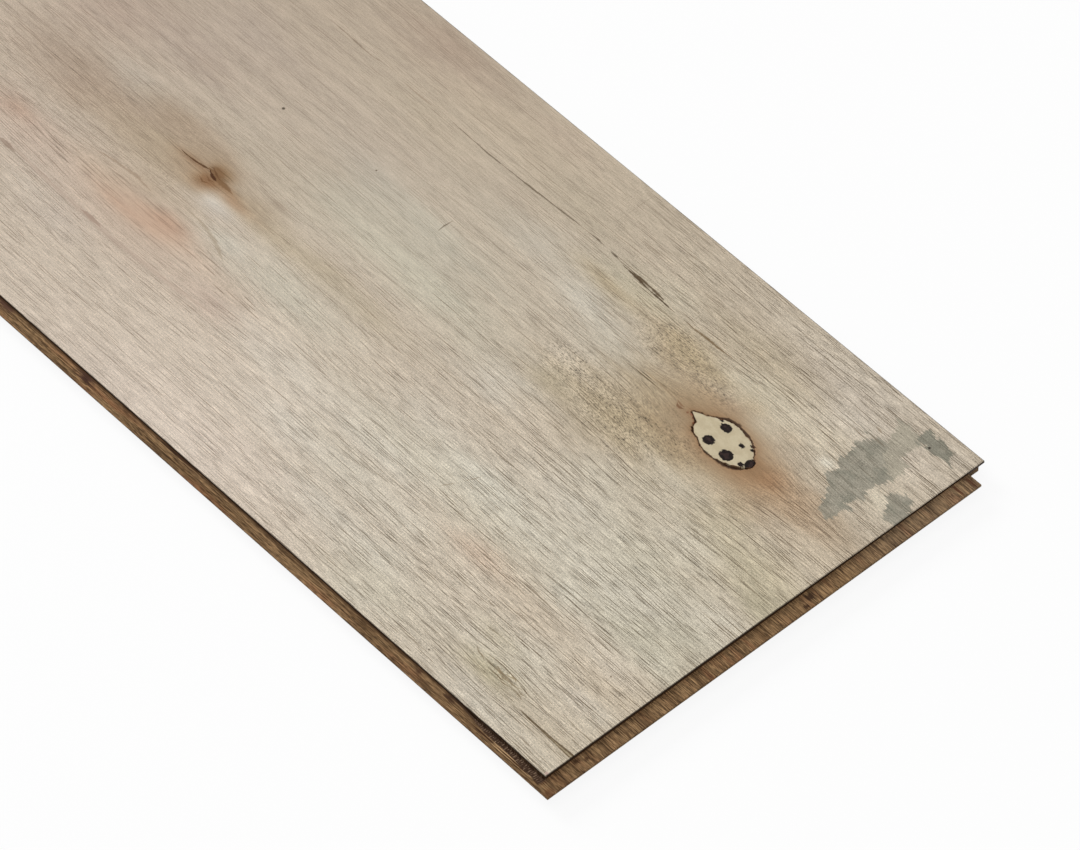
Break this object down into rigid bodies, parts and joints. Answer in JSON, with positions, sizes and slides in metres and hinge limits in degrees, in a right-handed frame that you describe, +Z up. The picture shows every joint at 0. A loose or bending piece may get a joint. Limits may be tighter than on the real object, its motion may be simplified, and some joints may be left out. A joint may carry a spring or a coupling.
{
  "type": "engineered hardwood flooring plank",
  "caption": "Flat floor plank: a pale rustic wood veneer on a brown cross-laminated core, with tongues on one long edge and one end and grooves on the others",
  "frame": {"origin": "middle of the underside's bounding box, tongues counted in", "axes": "+X along the length toward the tongue end, +Y across the width toward the groove edge, +Z up out of the face"},
  "size_m": [1.226, 0.1952, 0.007],
  "materials": {
    "face_wood": "matt lacquer over fine brushed grain, with knots, stains and grey mineral patches",
    "filler": "smooth cream filler with dark purplish spots",
    "long_grain_core": "bare brown ply, grain along the plank",
    "cross_grain_core": "bare darker ply, grain across the plank"
  },
  "bodies": {
    "root": {"face_veneer": "face_wood", "knot_filler": "filler", "top_ply": "long_grain_core", "upper_cross_ply": "cross_grain_core", "middle_ply": "long_grain_core", "lower_cross_ply": "cross_grain_core", "back_ply": "long_grain_core"}
  },
  "joints": []
}
